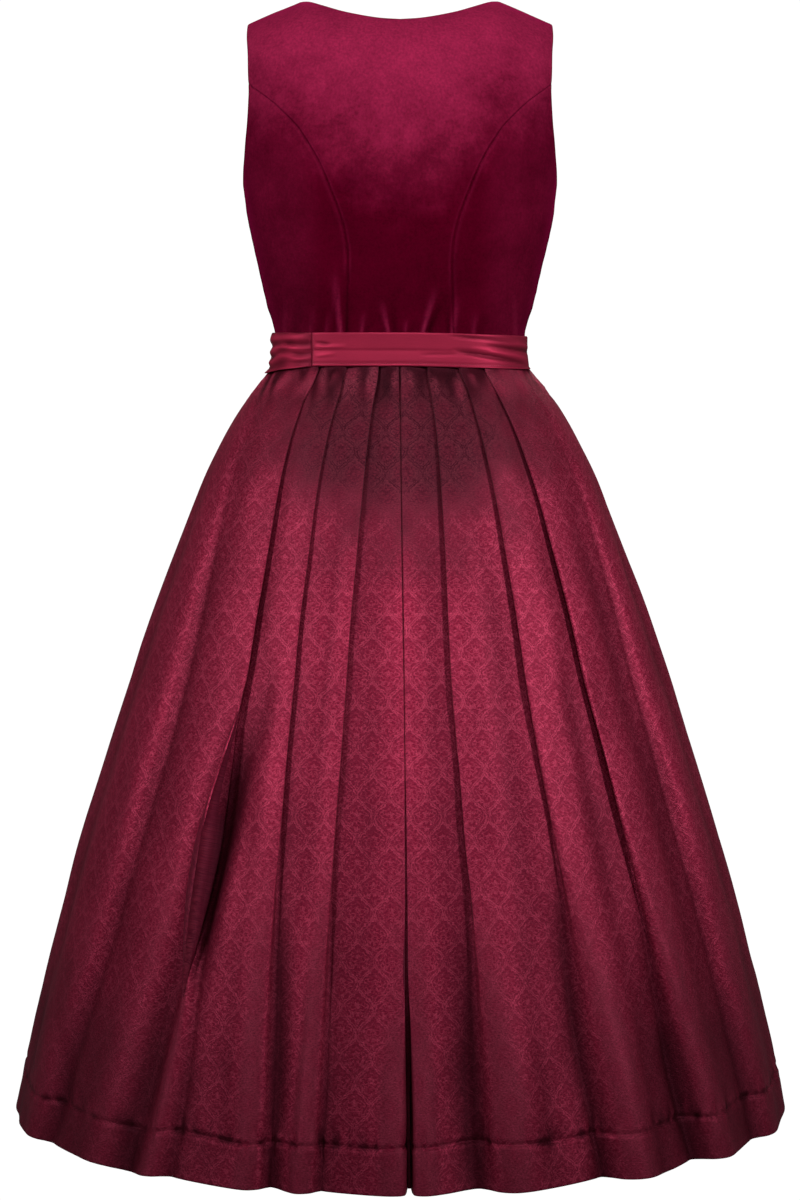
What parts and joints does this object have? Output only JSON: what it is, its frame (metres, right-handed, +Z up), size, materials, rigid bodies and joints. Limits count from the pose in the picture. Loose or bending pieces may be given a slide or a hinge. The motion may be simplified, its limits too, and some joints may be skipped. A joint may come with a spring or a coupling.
{
  "type": "dirndl dress",
  "caption": "Sleeveless folk dress in worn form: fitted velvet bodice with shaped seams, satin waist belt gathered at one side, and a pleated jacquard skirt flaring to the calf.",
  "frame": {"origin": "middle of the shoulder crest, on the line where the wearer's shoulders hold the dress", "axes": "+Z up, +X to the wearer's right, +Y the way the wearer faces, so the back of the dress faces -Y"},
  "size_m": [0.775, 0.6481, 1.103],
  "materials": {
    "velvet": "matte",
    "satin": "satin",
    "jacquard": "satin"
  },
  "bodies": {
    "root": {"bodice_back_centre": "velvet", "bodice_back_side_right": "velvet", "bodice_back_side_left": "velvet", "bodice_front_side_right": "velvet", "bodice_front_side_left": "velvet", "bodice_front_right": "velvet", "bodice_front_left": "velvet", "button_1": "velvet", "button_2": "velvet", "button_3": "velvet", "button_4": "velvet", "button_5": "velvet", "button_6": "velvet", "skirt_back_right": "jacquard", "skirt_back_left": "jacquard", "skirt_front_right": "jacquard", "skirt_front_left": "jacquard", "belt_band": "satin", "belt_tie": "satin"}
  },
  "joints": []
}
